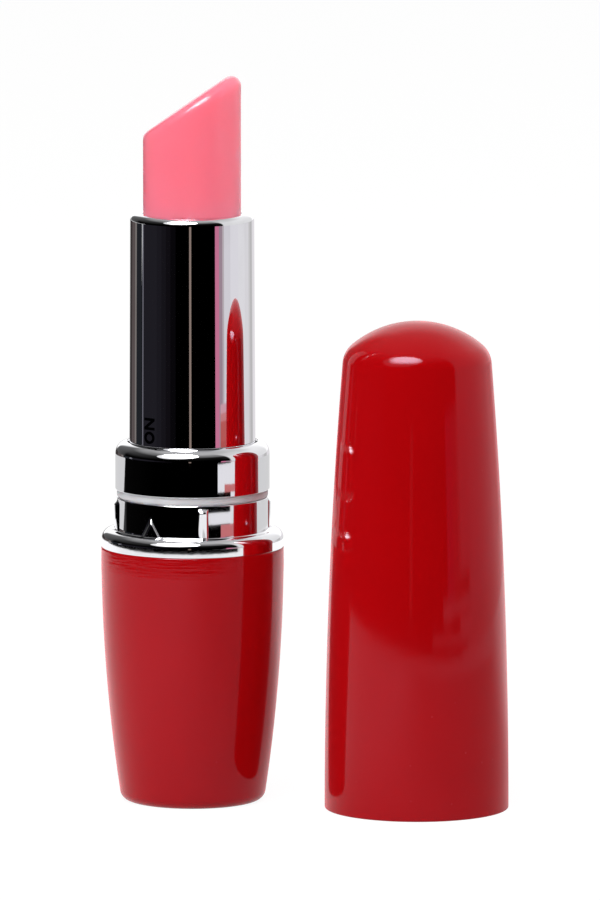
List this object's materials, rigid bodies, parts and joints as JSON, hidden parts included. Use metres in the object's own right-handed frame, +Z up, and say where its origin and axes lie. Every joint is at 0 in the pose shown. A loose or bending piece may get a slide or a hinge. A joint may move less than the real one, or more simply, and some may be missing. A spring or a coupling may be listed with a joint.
{
  "type": "lipstick-shaped massager",
  "caption": "Small battery-powered massager shaped like a lipstick: a glossy cup with a screw switch, a chrome tube unit with a soft slanted tip, and a pull-off domed cap.",
  "frame": {"origin": "centre of the base cup's flat foot, on the surface it stands on", "axes": "+Z up along the tube, +X towards the cap that stands beside it, -Y towards the front, where the pointer and the ON mark are"},
  "size_m": [0.0504, 0.0291, 0.0902],
  "materials": {
    "red_gloss": "gloss",
    "chrome_plate": "polished",
    "white_plastic": "satin",
    "black_plastic": "satin",
    "spring_steel": "satin",
    "motor_steel": "satin",
    "cell_wrap": "gloss",
    "brass": "satin",
    "seal_rubber": "satin",
    "pink_soft": "satin"
  },
  "bodies": {
    "base": {"base_cup": "red_gloss", "lower_collar": "chrome_plate", "battery_sleeve": "white_plastic", "negative_contact": "spring_steel", "negative_spring": "spring_steel"},
    "cell": {"battery_can": "cell_wrap", "battery_terminal": "spring_steel", "battery_insulator": "white_plastic"},
    "tube_unit": {"seal_ring": "seal_rubber", "upper_collar": "chrome_plate", "tube_sleeve": "chrome_plate", "chassis": "white_plastic", "contact_ring": "brass", "negative_lead": "brass", "positive_contact": "brass", "contact_rivet": "brass", "motor_can": "motor_steel", "motor_end_bell": "black_plastic", "motor_terminals": "brass", "motor_bush": "brass", "tip_core": "white_plastic", "soft_tip": "pink_soft"},
    "rotor": {"motor_shaft": "motor_steel", "eccentric_weight": "motor_steel"},
    "cap": {"cap_shell": "red_gloss"}
  },
  "joints": [
    {"name": "battery_rise", "type": "slide", "parent": "base", "child": "cell", "axis": [0, 0, 1], "range_m": [0, 0.005], "deforming": ["negative_spring"]},
    {"name": "twist", "type": "hinge", "parent": "cell", "child": "tube_unit", "pos_m": [0, 0, 0.0359], "axis": [0, 0, 1], "range_deg": [0, 900]},
    {"name": "motor_spin", "type": "hinge", "parent": "tube_unit", "child": "rotor", "pos_m": [0, 0, 0.0678], "axis": [0, 0, 1], "continuous": true},
    {"name": "cap_lift", "type": "slide", "parent": "base", "child": "cap", "axis": [0, 0, 1], "range_m": [0, 0.095]}
  ],
  "couplings": [
    {"joint": "twist", "follows": "battery_rise", "rad_per_m": 3141.6}
  ]
}
